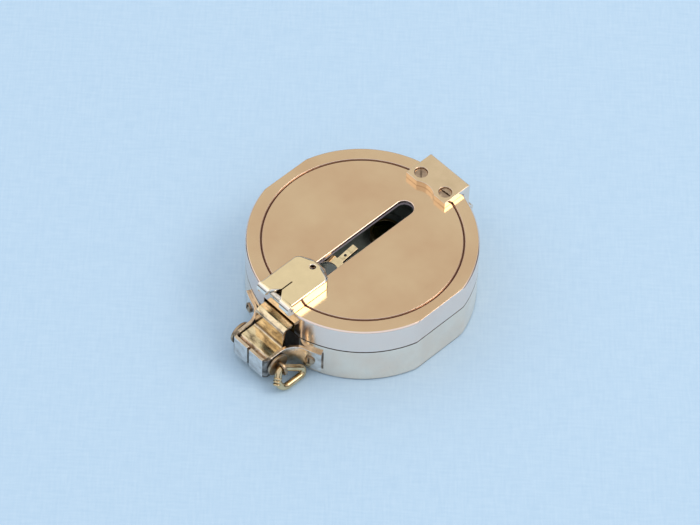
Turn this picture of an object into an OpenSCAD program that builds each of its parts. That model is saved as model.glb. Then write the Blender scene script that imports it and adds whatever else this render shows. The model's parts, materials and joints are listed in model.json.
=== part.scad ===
// Clinometer compass: a round brass pocket instrument with a hinged lid, a folding hood sight on the
// lid, a folding sight arm that lies under the lid, a needle, a clinometer arm and a lanyard ring.
// Origin: centre of the round case on its base. +Y runs to the lid hinge, +Z up, millimetres.

/* [Case] */
// Diameter of the round case
case_d = 76; // [72:0.5:84]
// Height of the lower case
lower_h = 14.7; // [14.2:0.1:17]
// Height of the lid
lid_h = 10.6; // [10.2:0.1:12]
// Thickness of the round walls
wall = 3; // [2.6:0.1:3.4]
// Depth of the two side flats that let the case stand on edge
side_cut = 1.5; // [1:0.1:1.8]
// Depth of the flat at the sighting end
eye_cut = 1.2; // [0.9:0.1:1.5]
// Bevel on the outer edges of both halves
edge_bevel = 0.5; // [0.3:0.1:0.8]
// Gap between the closed halves
seam = 0.12; // [0.06:0.02:0.2]
// Depth of the hollow under the base
foot_h = 2.4; // [2.2:0.1:3]
// Width of the foot ring round that hollow
foot_w = 6; // [4.5:0.5:8]
// Thickness of the case floor
floor_t = 1.2; // [1:0.1:1.4]

/* [Lid] */
// Thickness of the lid's top
top_t = 1.1; // [0.9:0.1:1.3]
// Width of the sighting slot
slot_w = 6; // [5:0.5:7]
// Far end of the slot from the centre
slot_far = 21.8; // [18:0.2:24]
// Near end of the slot from the centre
slot_near = 22; // [20:0.5:24]
// Radius of the turned groove in the lid
groove_r = 32.9; // [30:0.1:33.5]
// Width of that groove
groove_w = 0.7; // [0.4:0.1:1]
// Depth of that groove
groove_deep = 0.45; // [0.3:0.05:0.6]
// Thickness of the mirror glass
mirror_t = 1.2; // [1:0.1:1.4]
// Thickness of the ring that holds the mirror
mirror_ring_t = 0.9; // [0.6:0.1:1.1]
// Width of that ring
mirror_ring_w = 2.3; // [1.8:0.1:3]

/* [Lid hinge] */
// Width of the hinge
hinge_w = 18; // [15:0.5:20]
// Thickness of the plate on the lid
hinge_plate_t = 2.5; // [2:0.1:3]
// Length of that plate over the lid
hinge_reach = 9.8; // [8.5:0.1:11]
// Radius of the hinge barrel
barrel_r = 1.9; // [1.7:0.05:2.2]
// Distance of the hinge axis from the round case
axis_out = 2.2; // [2.1:0.1:2.6]
// Thickness of the leg and of the case leaf, measured at the axis side
leg_t = 1.8; // [1.6:0.1:2]
// Radius of the hinge pin
hinge_pin_r = 0.9; // [0.7:0.05:1.1]
// Width of the middle knuckle
knuckle_w = 7; // [5:0.5:8]
// Depth of the scoop in the plate's inner edge
scoop_deep = 1.4; // [1:0.1:1.8]
// Width of that scoop
scoop_w = 8; // [6:0.5:9]
// Spacing of the two plate screws
hinge_screw_gap = 11.3; // [10:0.1:12]
// Head radius of the plate screws
hinge_screw_r = 2.1; // [1.8:0.05:2.3]

/* [Hood sight] */
// Width of the hood
hood_w = 14.4; // [13:0.2:16]
// Height of the hood's top over the lid
hood_h = 4.8; // [4.6:0.1:5.4]
// Length from the hood's pin to its inner end
hood_len = 18.4; // [16:0.2:20]
// Thickness of the hood's metal
hood_t = 0.9; // [0.7:0.05:1]
// Radius of the rolled nose round the pin
nose_r = 2.3; // [2.1:0.05:2.35]
// Width of the notch's mouth
notch_w = 6.6; // [6:0.2:7]
// Length of the sighting slit behind the notch
slit_len = 4.6; // [3.5:0.1:6]
// Width of the slit
slit_w = 0.45; // [0.35:0.05:0.7]
// Radius of the peep hole
peep_r = 0.95; // [0.7:0.05:1.2]
// Radius of the hood's pin
hood_pin_r = 0.6; // [0.5:0.05:0.7]
// Width of the barrel that carries the hood
hood_barrel_w = 4.2; // [3.4:0.2:4.4]
// Width of the foot plate under the hood
block_w = 9; // [7:0.2:10]
// Length of that plate
block_len = 5; // [4:0.2:6]
// Thickness of that plate
block_t = 1; // [0.8:0.1:1.2]

/* [Sight arm] */
// Distance of the arm's pivot from the round case
pivot_out = 7.6; // [7.4:0.1:8]
// Height of the arm's pivot
pivot_z = 7.4; // [7.2:0.1:8]
// Radius of the pivot pin
sight_pin_r = 1.5; // [1.2:0.05:1.7]
// Height of the tray's floor over the pivot
tray_up = 3.2; // [2.9:0.1:3.3]
// Height of the arm's roof over the lower case's rim
roof_up = 3.9; // [3.6:0.1:4.1]
// Thickness of the arm's metal
arm_t = 1.2; // [1:0.1:1.3]
// Slope of the blade under the lid in degrees
blade_tilt = 9.6; // [8:0.1:9.8]
// Length of the blade from the roof to its shoulder
blade_len = 26; // [22:0.5:27]
// Length of the narrow neck in the lid's slot
neck_len = 7; // [5:0.5:9]
// Width of that neck
neck_w = 2.4; // [2:0.1:3.4]
// Width of the window in the blade
window_w = 8; // [6.5:0.1:8.6]
// Thickness of the glass in the window
pane_t = 0.8; // [0.6:0.1:1]

/* [Strap] */
// Reach of the strap's front past the round case
strap_reach = 12.5; // [12.3:0.1:13]
// Half width of the strap over its arms
strap_half = 8; // [7.6:0.1:8.4]
// Thickness of the strap's metal
strap_t = 1.2; // [1:0.05:1.2]
// Height of the strap's lower edge
strap_z = 2.9; // [2.7:0.1:3.4]
// Height of the strap's upper edge
strap_top = 11.6; // [11.4:0.1:12]
// Width of the slit between the two halves
strap_slit = 0.9; // [0.6:0.1:1.4]
// Radius of the strap's front corners
strap_corner = 2.2; // [1.6:0.1:2.6]
// Radius of the flare from arm to flange
flare_r = 6.5; // [5.5:0.1:7]
// Angle at which each flange ends, from the sight axis
flange_end = 27; // [25.5:0.5:32]
// Angle of the strap screws from the sight axis
strap_screw_a = 21.4; // [20.5:0.2:22.4]
// Height of the strap screws
strap_screw_z = 7.2; // [6.4:0.1:8.4]
// Head radius of the strap screws
strap_screw_r = 1.75; // [1.5:0.05:1.9]

/* [Lanyard ring] */
// Radius of the ring's wire
wire_r = 1.2; // [1.05:0.05:1.2]
// Angle from upright at which the ring leans out
ring_lean = 26; // [26:0.5:32]
// Length of the ring's lower side, corner to corner
ring_side = 15.4; // [14:0.1:15.4]
// Distance of its front corner from the eye
ring_front = 5.3; // [4.6:0.1:5.3]
// Radius of the round pin head and the ring nut
disc_r = 4; // [3.4:0.1:4]
// Thickness of the pin head and the ring nut
disc_t = 0.9; // [0.7:0.1:1.1]
// Thickness of the ring's eye
eye_t = 1; // [0.8:0.1:1.1]

/* [Compass] */
// Thickness of the glass over the needle
crystal_t = 1.2; // [1:0.1:1.4]
// Height of the ring that holds that glass
crystal_ring_h = 0.9; // [0.7:0.1:1]
// Width of the ledge under the glass
ledge_w = 1.4; // [1.1:0.1:1.8]
// Thickness of the dial plate
dial_t = 0.8; // [0.6:0.1:0.9]
// Width of the raised degree ring
degree_w = 5; // [4:0.5:6]
// Radius of the needle's tips
needle_r = 27.4; // [24:0.2:27.6]
// Thickness of the needle
needle_t = 0.3; // [0.25:0.05:0.4]
// Width of the needle at its centre
needle_w = 4; // [3:0.2:5]
// Radius of the needle's cap
cap_r = 2; // [1.8:0.1:2.2]
// Height of the needle's cap
cap_h = 2.2; // [2:0.1:2.4]
// Radius of the pivot post
post_r = 0.5; // [0.4:0.05:0.6]
// Radius of the round level
round_r = 5.2; // [4.6:0.1:5.6]
// Distance of the round level from the centre
round_out = 18; // [17.6:0.1:18.6]
// Height of the round level
round_h = 4.2; // [3.8:0.1:4.4]
// Thickness of the round level's wall
round_wall = 0.8; // [0.6:0.05:1]

/* [Clinometer] */
// Radius of the arbor through the floor
arbor_r = 2; // [1.7:0.1:2.2]
// Thickness of the vernier arm
vernier_t = 0.8; // [0.6:0.1:0.9]
// Radius reached by the vernier arm
vernier_r = 27; // [24:0.2:27.4]
// Radius of the level tube's holder
vial_r = 2.2; // [2:0.05:2.3]
// Length of the holder
vial_len = 20; // [16:0.5:21]
// Distance of the level tube from the centre
vial_out = 12; // [11:0.2:13]
// Length of the thumb lever under the base
lever_len = 24; // [18:0.5:27]
// Thickness of the thumb lever
lever_t = 1.2; // [1:0.1:1.3]
// Width of the thumb lever
lever_w = 4; // [3:0.2:5]
// Radius of the lever's boss
boss_r = 4; // [3.4:0.1:4.6]
// Radius of the lever's thumb end
thumb_r = 3; // [2.4:0.1:3.6]
// Radius of the friction washer
washer_r = 4.4; // [3.6:0.1:5]

/* [Needle lifter] */
// Angle of the lifter from the hinge side
lifter_a = 20; // [18:0.5:22]
// Depth of the lift pin's axis from the round outside of the case
lift_in = 1.7; // [1.6:0.05:1.8]
// Radius of the lift pin
lift_pin_r = 0.75; // [0.6:0.05:0.8]
// Distance of the lifter's pivot from the centre
rocker_r = 24; // [22:0.2:25]
// Width of the lifter
lifter_w = 2.4; // [2:0.1:2.8]
// Thickness of the lifter
lifter_t = 0.7; // [0.5:0.05:0.8]

/* [Fits] */
// Running gap round pins and shafts
run_gap = 0.05; // [0.03:0.01:0.08]
// Gap beside parts that turn past each other
side_gap = 0.3; // [0.2:0.05:0.4]
// Gap round parts that are set in place
set_gap = 0.03; // [0.02:0.01:0.05]

/* [Hidden] */
$fn = 96;

brass = "#C8AE84";
pale_brass = "#D4C091";
aged_brass = "#A98F62";
gold = "#C9A24E";
steel = "#9AA0A6";
silvered = "#D8D8D2";
glass_tint = "#BFD6DC";

// Case levels and radii
case_r = case_d / 2;
x_flat = case_r - side_cut;
y_flat = case_r - eye_cut;
case_h = lower_h + lid_h;
cut_big = case_d + 60;
eps = 0.01;
hair = 0.02;
floor_z = foot_h + floor_t;
bore_r = case_r - wall;
ledge_r = bore_r - ledge_w;
bezel_top = lower_h - 0.1;
crystal_top = bezel_top - crystal_ring_h;
crystal_z = crystal_top - crystal_t;
dial_top = floor_z + dial_t;

// Lid levels
lid_z = lower_h + seam;
mirror_top = case_h - top_t;
mirror_z = mirror_top - mirror_t;

// Hinge
axis_y = case_r + axis_out;
leg_y = axis_y - 0.4;
plate_top = case_h + hinge_plate_t;
plate_y0 = case_r - hinge_reach;
knuckle_gap = 0.2;
hinge_screw_y = plate_y0 + 3.55;
leaf_z = strap_z;

// Hood sight
hood_y = -(case_r - 0.1);
hood_top = case_h + hood_h;
hood_z = hood_top - nose_r;
hood_floor = case_h + 0.15;
hood_end = hood_y + hood_len;
hood_barrel_r = nose_r - hood_t - 0.15;
notch_deep = nose_r + 2.1;

// Sight arm
pivot_y = -(case_r + pivot_out);
strap_in_y = -(case_r + strap_reach - strap_t);
root_r = pivot_y - strap_in_y - 0.2;
arm_half = strap_half - strap_t - side_gap;
tray_z = pivot_z + tray_up;
roof_z = lower_h + roof_up;
rise_y = pivot_y + (strap_top - pivot_z) + 0.1;
blade_y = -(case_r - 2.5);
window_len = blade_len - 4;
notch_top = roof_z + 1.2;

// Ring
disc_x = strap_half + 0.35;
shoulder_r = sight_pin_r + 0.6;
eye_x = disc_x + disc_t + wire_r + 0.2;
ring_drop = (pivot_z - wire_r) / cos(ring_lean);
eye_hole_r = wire_r + 0.55;
eye_r = eye_hole_r + 0.8;

// Compass and clinometer levels
cap_top = crystal_z - 0.4;
cap_z = cap_top - cap_h;
needle_z = cap_z + 1;
degree_top = needle_z - 0.5;
degree_r = ledge_r - 0.1;
lever_z = foot_h - 0.5 - lever_t;
vernier_z = dial_top + 0.1;
vernier_top = vernier_z + vernier_t;
vial_z = vernier_top + vial_r;
spigot_r = arbor_r * 0.6;
round_floor = 0.5;

// Lifter
lift_r = case_r - lift_in;
lifter_top = cap_z - 0.12;
lifter_z = lifter_top - lifter_t;
rocker_z = lifter_z + lifter_t / 2;
rocker_pin_r = 0.35;
ear_r = 0.8;
fork_r = cap_r + 0.9;
fork_gap = 2 * cap_r - 1;
lifter_slot_w = lifter_w + 0.8;

// Shared shapes

// A turned disc with bevelled rims
module puck(r, z0, z1, low, high) {
    rotate_extrude($fn = 180)
        polygon([[0, z0], [r - low, z0], [r, z0 + low], [r, z1 - high], [r - high, z1], [0, z1]]);
}

// A ring with square edges
module tube(r_out, r_in, z0, z1) {
    translate([0, 0, z0])
        difference() {
            cylinder(h = z1 - z0, r = r_out, $fn = 180);
            translate([0, 0, -eps]) cylinder(h = z1 - z0 + 2 * eps, r = r_in, $fn = 180);
        }
}

// The space between the two side flats and behind the flat at the sighting end
module flats(z0, z1) {
    translate([-x_flat, -y_flat, z0]) cube([2 * x_flat, y_flat + cut_big, z1 - z0]);
}

// A rod between two places along X
module x_rod(x0, x1, y, z, r) {
    translate([x0, y, z]) rotate([0, 90, 0]) cylinder(h = x1 - x0, r = r, $fn = 48);
}

// A slot outline with round ends, along Y
module slot_outline(w, y0, y1) {
    translate([0, y0 + w / 2]) circle(d = w, $fn = 64);
    translate([0, y1 - w / 2]) circle(d = w, $fn = 64);
    translate([-w / 2, y0 + w / 2]) square([w, y1 - y0 - w]);
}

// A slotted countersunk or domed screw standing on z = 0, its shank below
module slotted_screw(head_r, head_h, dome, shank_r, shank_l) {
    difference() {
        union() {
            cylinder(h = head_h, r = head_r, $fn = 48);
            if (dome > 0)
                translate([0, 0, head_h])
                    intersection() {
                        ball_r = (head_r * head_r + dome * dome) / (2 * dome);
                        translate([0, 0, dome - ball_r]) sphere(r = ball_r, $fn = 160);
                        translate([0, 0, -eps]) cylinder(h = dome + 1, r = head_r - 0.06, $fn = 48);
                    }
            translate([0, 0, -shank_l]) cylinder(h = shank_l + eps, r = shank_r, $fn = 32);
        }
        translate([-head_r - 1, -0.3, head_h + dome - 0.6]) cube([2 * head_r + 2, 0.6, 2]);
    }
}

// Places a child on the round case at an angle from the sight axis, pointing outwards
module on_round(angle, z, r) {
    rotate([0, 0, angle]) translate([0, -r, z]) rotate([90, 0, 0]) children();
}

// Rounded loop of wire through a list of corners in the XY plane, turning counter-clockwise
function unit(v) = v / norm(v);
function corner_half(p, i) = acos(unit(p[(i + 2) % 3] - p[i]) * unit(p[(i + 1) % 3] - p[i])) / 2;
function corner_in(p, i, r) = p[i] + unit(p[(i + 2) % 3] - p[i]) * r / tan(corner_half(p, i));
function corner_out(p, i, r) = p[i] + unit(p[(i + 1) % 3] - p[i]) * r / tan(corner_half(p, i));
function corner_mid(p, i, r) =
    p[i] + unit(unit(p[(i + 2) % 3] - p[i]) + unit(p[(i + 1) % 3] - p[i])) * r / sin(corner_half(p, i));

module wire_loop(p, bend, r) {
    for (i = [0:2]) {
        start = corner_out(p, i, bend[i]);
        finish = corner_in(p, (i + 1) % 3, bend[(i + 1) % 3]);
        run = finish - start;
        translate([start[0], start[1], 0])
            rotate([0, 0, atan2(run[1], run[0])])
            translate([-0.12, 0, 0])
            rotate([0, 90, 0])
            cylinder(h = norm(run) + 0.24, r = r - hair, $fn = 48);
        mid = corner_mid(p, i, bend[i]);
        first = corner_in(p, i, bend[i]) - mid;
        translate([mid[0], mid[1], 0])
            rotate([0, 0, atan2(first[1], first[0])])
            rotate_extrude(angle = 180 - 2 * corner_half(p, i), $fn = 96)
            translate([bend[i], 0])
            circle(r = r, $fn = 48);
    }
}

// Lower case

module case_body() {
    color(brass)
        difference() {
            intersection() {
                puck(case_r, 0, lower_h, 0.4, 0.15);
                flats(0, lower_h);
            }
            translate([0, 0, -eps]) cylinder(h = foot_h + eps, r = case_r - foot_w, $fn = 180);
            translate([0, 0, floor_z]) cylinder(h = lower_h, r = ledge_r, $fn = 180);
            translate([0, 0, crystal_z]) cylinder(h = lower_h, r = bore_r, $fn = 180);
            cylinder(h = floor_z + eps, r = arbor_r + run_gap, $fn = 64);
            rotate([0, 0, -lifter_a]) {
                translate([-lifter_slot_w / 2, ledge_r - 1, lifter_z - 0.3])
                    cube([lifter_slot_w, lift_r + 0.9 - ledge_r + 1, lifter_t + 1.5]);
                translate([0, lift_r, lifter_z])
                    cylinder(h = lower_h, r = lift_pin_r + run_gap, $fn = 48);
            }
            for (side = [-1, 1])
                on_round(side * strap_screw_a, strap_screw_z, case_r + 1)
                    translate([0, 0, -wall])
                    cylinder(h = wall + 2, r = 0.95 + set_gap, $fn = 32);
            for (side = [-1, 1])
                translate([side * 5.6, case_r - wall + 0.8, 7.4])
                    rotate([-90, 0, 0])
                    cylinder(h = wall + 2, r = 0.8 + set_gap, $fn = 32);
        }
}

// Strap that holds the sight arm, in two mirrored halves

// Quarter ring or wedge of ring, a hair thinner than the metal, that runs a little into its neighbours
module bend(r_out, a0, a1) {
    lap = 0.12 / r_out * 57.3;
    far = 4 * r_out;
    mid = (a0 + a1) / 2;
    intersection() {
        difference() {
            circle(r = r_out - hair, $fn = 120);
            circle(r = r_out - strap_t + hair, $fn = 120);
        }
        polygon([[0, 0], [far * cos(a0 - lap), far * sin(a0 - lap)],
            [far * cos(mid), far * sin(mid)], [far * cos(a1 + lap), far * sin(a1 + lap)]]);
    }
}

module strap_outline() {
    front = -(case_r + strap_reach);
    flare_x = strap_half + flare_r;
    flange_r = case_r + strap_t;
    flare_y = -sqrt(pow(flange_r + flare_r, 2) - pow(flare_x, 2));
    join = atan2(flare_x, -flare_y);
    translate([strap_slit / 2, front]) square([strap_half - strap_corner - strap_slit / 2, strap_t]);
    translate([strap_half - strap_corner, front + strap_corner]) bend(strap_corner, -90, 0);
    translate([strap_half - strap_t, front + strap_corner])
        square([strap_t, flare_y - front - strap_corner]);
    translate([flare_x, flare_y]) bend(flare_r + strap_t, 90 + join, 180);
    intersection() {
        difference() {
            circle(r = flange_r, $fn = 180);
            circle(r = case_r, $fn = 180);
        }
        polygon([[0, 0], [cut_big * sin(join), -cut_big * cos(join)],
            [cut_big * sin(flange_end), -cut_big * cos(flange_end)]]);
    }
}

module strap_half_solid() {
    difference() {
        translate([0, 0, strap_z]) linear_extrude(strap_top - strap_z) strap_outline();
        x_rod(0, strap_half + 5, pivot_y, pivot_z, sight_pin_r + set_gap);
        on_round(strap_screw_a, strap_screw_z, case_r - 2)
            cylinder(h = strap_t + 4, r = 0.95 + set_gap, $fn = 32);
    }
}

module strap_right() {
    color(pale_brass) strap_half_solid();
}

module strap_left() {
    color(pale_brass) mirror([1, 0, 0]) strap_half_solid();
}

module strap_screws() {
    color(brass)
        for (side = [-1, 1])
            on_round(side * strap_screw_a, strap_screw_z, case_r + strap_t + 0.05)
                rotate([0, 0, 90])
                slotted_screw(strap_screw_r, 0.45, 0.6, 0.95, strap_t + wall - 1.2);
}

// Pivot pin of the sight arm, with a broad round head on a shoulder at the left
module sight_pin() {
    color(aged_brass) {
        x_rod(-disc_x, strap_half + disc_t * 0.6, pivot_y, pivot_z, sight_pin_r);
        x_rod(-disc_x, -strap_half - 0.05, pivot_y, pivot_z, shoulder_r);
        x_rod(-disc_x - disc_t, -disc_x, pivot_y, pivot_z, disc_r);
    }
}

// Round nut on the right end of the pin, with the eye that holds the lanyard ring
module ring_nut() {
    color(aged_brass)
        difference() {
            union() {
                x_rod(strap_half + 0.05, disc_x + eps, pivot_y, pivot_z, shoulder_r);
                x_rod(disc_x, disc_x + disc_t, pivot_y, pivot_z, disc_r);
                difference() {
                    translate([eye_x, pivot_y + eye_t / 2, pivot_z])
                        rotate([90, 0, 0])
                        cylinder(h = eye_t, r = eye_r, $fn = 64);
                    translate([eye_x, pivot_y + 5, pivot_z])
                        rotate([90, 0, 0])
                        cylinder(h = 10, r = eye_hole_r, $fn = 64);
                    translate([disc_x - 20, pivot_y - 10, pivot_z - 10])
                        cube([20 + disc_t / 2, 20, 20]);
                }
            }
            x_rod(strap_half - 1, strap_half + disc_t * 0.6 + 0.05, pivot_y, pivot_z,
                sight_pin_r + set_gap);
        }
}

// The ring lies in a plane that leans out: X runs down from the eye, Y to the hinge side
module lanyard_ring() {
    corners = [[-0.8, -0.6], [ring_drop, ring_side - ring_front], [ring_drop, -ring_front]];
    turned = [corners[0], corners[2], corners[1]];
    color(gold)
        translate([eye_x, pivot_y, pivot_z])
        rotate([0, 90 - ring_lean, 0])
        wire_loop(turned, [1.9, 3, 1.45], wire_r);
}

// Hinge leaf on the lower case, with the middle knuckle
module hinge_leaf() {
    color(pale_brass)
        difference() {
            union() {
                translate([-hinge_w / 2, case_r - 2.5, leaf_z])
                    cube([hinge_w, leg_y - case_r + 2.5, lower_h - barrel_r - knuckle_gap - leaf_z]);
                translate([-knuckle_w / 2, case_r - 2.5, leaf_z])
                    cube([knuckle_w, leg_y - case_r + 2.5, lower_h - leaf_z - 0.3]);
                x_rod(-knuckle_w / 2, knuckle_w / 2, axis_y, lower_h, barrel_r);
            }
            translate([0, 0, -1]) cylinder(h = case_h, r = case_r + set_gap, $fn = 180);
            x_rod(-hinge_w, hinge_w, axis_y, lower_h, hinge_pin_r + set_gap);
            for (side = [-1, 1])
                translate([side * 5.6, case_r - 3, 7.4])
                    rotate([-90, 0, 0]) {
                        cylinder(h = 10, r = 0.8 + set_gap, $fn = 32);
                        translate([0, 0, leg_y - case_r + 3 - 0.7]) cylinder(h = 5, r = 1.65, $fn = 40);
                    }
        }
}

module leaf_screws() {
    color(brass)
        for (side = [-1, 1])
            translate([side * 5.6, leg_y - 0.68, 7.4])
                rotate([-90, 0, 0])
                slotted_screw(1.6, 0.65, 0.25, 0.8, leg_y - case_r + wall - 1.8);
}

module hinge_pin() {
    color(aged_brass)
        x_rod(-hinge_w / 2 - 0.3, hinge_w / 2 + 0.3, axis_y, lower_h, hinge_pin_r);
}

// Lid

module lid_shell() {
    color(brass)
        difference() {
            intersection() {
                puck(case_r, lid_z, case_h, 0.15, edge_bevel);
                flats(lid_z, case_h);
            }
            translate([0, 0, lid_z - eps]) cylinder(h = mirror_top - lid_z + eps, r = bore_r, $fn = 180);
            translate([0, 0, mirror_top - 1]) linear_extrude(top_t + 2)
                slot_outline(slot_w, -slot_near, slot_far);
            tube(groove_r + groove_w / 2, groove_r - groove_w / 2, case_h - groove_deep, case_h + 1);
            translate([-arm_half - 0.6, -case_r - 1, lid_z - 1])
                cube([2 * arm_half + 1.2, wall + 3, notch_top - lid_z + 1]);
            for (side = [-1, 1])
                translate([side * hinge_screw_gap / 2, hinge_screw_y, mirror_top - 1])
                    cylinder(h = 5, r = 1 + set_gap, $fn = 32);
        }
}

module mirror_disc() {
    color(silvered)
        difference() {
            translate([0, 0, mirror_z]) cylinder(h = mirror_t - 0.02, r = bore_r - 0.1, $fn = 180);
            translate([0, 0, mirror_z - 1]) linear_extrude(mirror_t + 2)
                slot_outline(slot_w + 0.4, -slot_near - 0.2, slot_far + 0.2);
        }
}

module mirror_ring() {
    color(aged_brass)
        tube(bore_r - 0.05, bore_r - mirror_ring_w, mirror_z - mirror_ring_t - 0.02, mirror_z - 0.02);
}

// Hinge plate on the lid: a thick plate with a leg down the wall and the two outer knuckles
module hinge_plate() {
    knuckle_x = knuckle_w / 2 + knuckle_gap;
    knuckle_l = hinge_w / 2 - knuckle_x;
    color(pale_brass)
        difference() {
            union() {
                translate([-hinge_w / 2, plate_y0, case_h])
                    cube([hinge_w, leg_y - plate_y0 - 0.4, hinge_plate_t]);
                translate([-hinge_w / 2, case_r - 3, lower_h + barrel_r + knuckle_gap])
                    cube([hinge_w, leg_y - case_r + 3, plate_top - 0.4 - lower_h - barrel_r - knuckle_gap]);
                for (side = [0, 1])
                    mirror([side, 0, 0]) {
                        x_rod(knuckle_x, knuckle_x + knuckle_l, axis_y, lower_h, barrel_r);
                        translate([knuckle_x, axis_y - barrel_r, lower_h])
                            cube([knuckle_l, leg_y - axis_y + barrel_r, barrel_r + knuckle_gap + eps]);
                    }
            }
            translate([0, 0, -1]) cylinder(h = case_h + 1, r = case_r + set_gap, $fn = 180);
            x_rod(-hinge_w, hinge_w, axis_y, lower_h, hinge_pin_r + run_gap);
            scoop_r = (pow(scoop_w / 2, 2) + pow(scoop_deep, 2)) / (2 * scoop_deep);
            translate([0, plate_y0 + scoop_deep - scoop_r, case_h - 1])
                cylinder(h = hinge_plate_t + 2, r = scoop_r, $fn = 96);
            for (side = [-1, 1])
                translate([side * hinge_screw_gap / 2, hinge_screw_y, 0]) {
                    translate([0, 0, plate_top - 1.3])
                        cylinder(h = 3, r = hinge_screw_r + 0.15, $fn = 48);
                    translate([0, 0, case_h - 1]) cylinder(h = 5, r = 1 + set_gap, $fn = 32);
                }
        }
}

module hinge_screws() {
    color(brass)
        for (side = [-1, 1])
            translate([side * hinge_screw_gap / 2, hinge_screw_y, plate_top - 1.28])
                rotate([0, 0, side * 25 - 20])
                slotted_screw(hinge_screw_r, 0.7, 0.3, 1, hinge_plate_t - 1.28 + top_t - 0.1);
}

// Block on the lid that carries the hood: a foot plate, a neck and a barrel
module hood_block() {
    foot_y = hood_y + 2.2;
    color(aged_brass)
        difference() {
            union() {
                x_rod(-hood_barrel_w / 2, hood_barrel_w / 2, hood_y, hood_z, hood_barrel_r);
                translate([-hood_barrel_w / 2, 0, 0])
                    rotate([90, 0, 90])
                    linear_extrude(hood_barrel_w)
                    polygon([[hood_y + 0.2, hood_z - hood_barrel_r + 0.1], [foot_y - 0.6, case_h],
                        [foot_y + 2.4, case_h], [foot_y + 2.4, case_h + block_t], [hood_y + 0.6, hood_z + 0.9]]);
                translate([-block_w / 2, foot_y, case_h]) cube([block_w, block_len, block_t]);
            }
            x_rod(-5, 5, hood_y, hood_z, hood_pin_r + run_gap);
        }
}

// Folding hood: a shallow cap with a rolled nose, a notch, a slit and a peep hole
module hood_outline(inset) {
    x = hood_w / 2 - inset;
    y1 = hood_end - inset;
    polygon([[-x, hood_y], [x, hood_y], [x, y1 - 3.4], [x - 1, y1 - 1.8], [2.8, y1], [-2.8, y1],
        [-x + 1, y1 - 1.8], [-x, y1 - 3.4]]);
}

module hood() {
    inner_x = hood_w / 2 - hood_t;
    color(pale_brass)
        difference() {
            union() {
                translate([0, 0, hood_floor]) linear_extrude(hood_top - hood_floor - 1) hood_outline(0);
                translate([0, 0, hood_top - 1 - eps]) hood_crown();
                intersection() {
                    x_rod(-hood_w / 2, hood_w / 2, hood_y, hood_z, nose_r - hair);
                    translate([-hood_w, hood_y - 10, case_h - 5]) cube([2 * hood_w, 10.1, 20]);
                }
            }
            translate([0, 0, case_h - 1]) linear_extrude(hood_top - hood_t - case_h + 1)
                hood_outline(hood_t);
            x_rod(-inner_x, inner_x, hood_y, hood_z, nose_r - hood_t - hair);
            translate([-inner_x, hood_y - nose_r - 1, case_h - 2])
                cube([2 * inner_x, nose_r + 3, hood_z - case_h + 2]);
            translate([0, 0, hood_z - 4]) linear_extrude(10) notch_outline();
            translate([-slit_w / 2, hood_y - nose_r + notch_deep - 0.5, hood_z])
                cube([slit_w, slit_len + 0.5, 10]);
            translate([0, hood_end - 2.7, hood_z]) {
                cylinder(h = 10, r = peep_r, $fn = 48);
                translate([0, 0, hood_top - hood_z - 0.3])
                    cylinder(h = 1, r1 = peep_r, r2 = peep_r + 1, $fn = 48);
            }
            x_rod(-hood_w, hood_w, hood_y, hood_z, hood_pin_r + set_gap);
        }
}

module notch_outline() {
    front = hood_y - nose_r;
    polygon([[-notch_w / 2, front], [-notch_w / 2, front - 1], [notch_w / 2, front - 1],
        [notch_w / 2, front], [slit_w / 2, front + notch_deep], [-slit_w / 2, front + notch_deep]]);
}

// Top millimetre of the hood, bevelled on the inner end and the sides
module hood_crown() {
    hull() {
        linear_extrude(0.02, $fn = 32) hood_outline(0);
        translate([0, 0, 1 - 0.02]) linear_extrude(0.02)
            polygon([[-hood_w / 2 + 0.25, hood_y], [hood_w / 2 - 0.25, hood_y],
                [hood_w / 2 - 0.25, hood_end - 4.2], [hood_w / 2 - 1.3, hood_end - 2.9],
                [2.4, hood_end - 1.1], [-2.4, hood_end - 1.1],
                [-hood_w / 2 + 1.3, hood_end - 2.9], [-hood_w / 2 + 0.25, hood_end - 4.2]]);
    }
}

module hood_pin() {
    color(steel) x_rod(-hood_w / 2, hood_w / 2, hood_y, hood_z, hood_pin_r);
}

// Folding sight arm

// Side outline of the arm's root: round knuckle, tray, rising wall and roof
module arm_side() {
    fillet = 0.8;
    difference() {
        translate([pivot_y, pivot_z]) circle(r = root_r, $fn = 96);
        translate([pivot_y - 20, tray_z]) square([40, 10]);
    }
    translate([pivot_y, tray_z - arm_t]) square([rise_y - pivot_y + arm_t, arm_t]);
    translate([rise_y, tray_z - arm_t]) square([arm_t, roof_z - tray_z]);
    difference() {
        translate([rise_y - fillet, tray_z - eps]) square(fillet + eps);
        translate([rise_y - fillet, tray_z + fillet]) circle(r = fillet, $fn = 48);
    }
    polygon([[rise_y, roof_z - 1.5], [rise_y + 0.35, roof_z - 0.75], [rise_y + 1.7, roof_z - 0.05],
        [rise_y + 2.4, roof_z], [blade_y + 0.3, roof_z], [blade_y + 0.5, roof_z - arm_t],
        [rise_y + 2.2, roof_z - arm_t], [rise_y + arm_t, roof_z - 2.3], [rise_y + arm_t, roof_z - 3],
        [rise_y, roof_z - 3]]);
}

// Plan outline of the blade, from its foot to the tip of the neck
module blade_outline() {
    shoulder = 3;
    difference() {
        union() {
            translate([-arm_half, 0]) square([2 * arm_half, blade_len - shoulder]);
            hull() {
                translate([-arm_half, blade_len - shoulder - 1]) square([2 * arm_half, 1]);
                translate([arm_half - 2.5, blade_len - 2.2]) circle(r = 1.6, $fn = 32);
                translate([-arm_half + 2.5, blade_len - 2.2]) circle(r = 1.6, $fn = 32);
                translate([-2, blade_len - 1]) square([4, 1]);
            }
            translate([-neck_w / 2, blade_len - 1]) square([neck_w, neck_len + 1]);
        }
        slot_outline(window_w, 1.6, 1.6 + window_len);
        translate([0, blade_len + 2.4]) circle(r = 0.45, $fn = 24);
    }
}

module on_blade() {
    translate([0, blade_y, roof_z - arm_t]) rotate([blade_tilt, 0, 0]) children();
}

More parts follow.
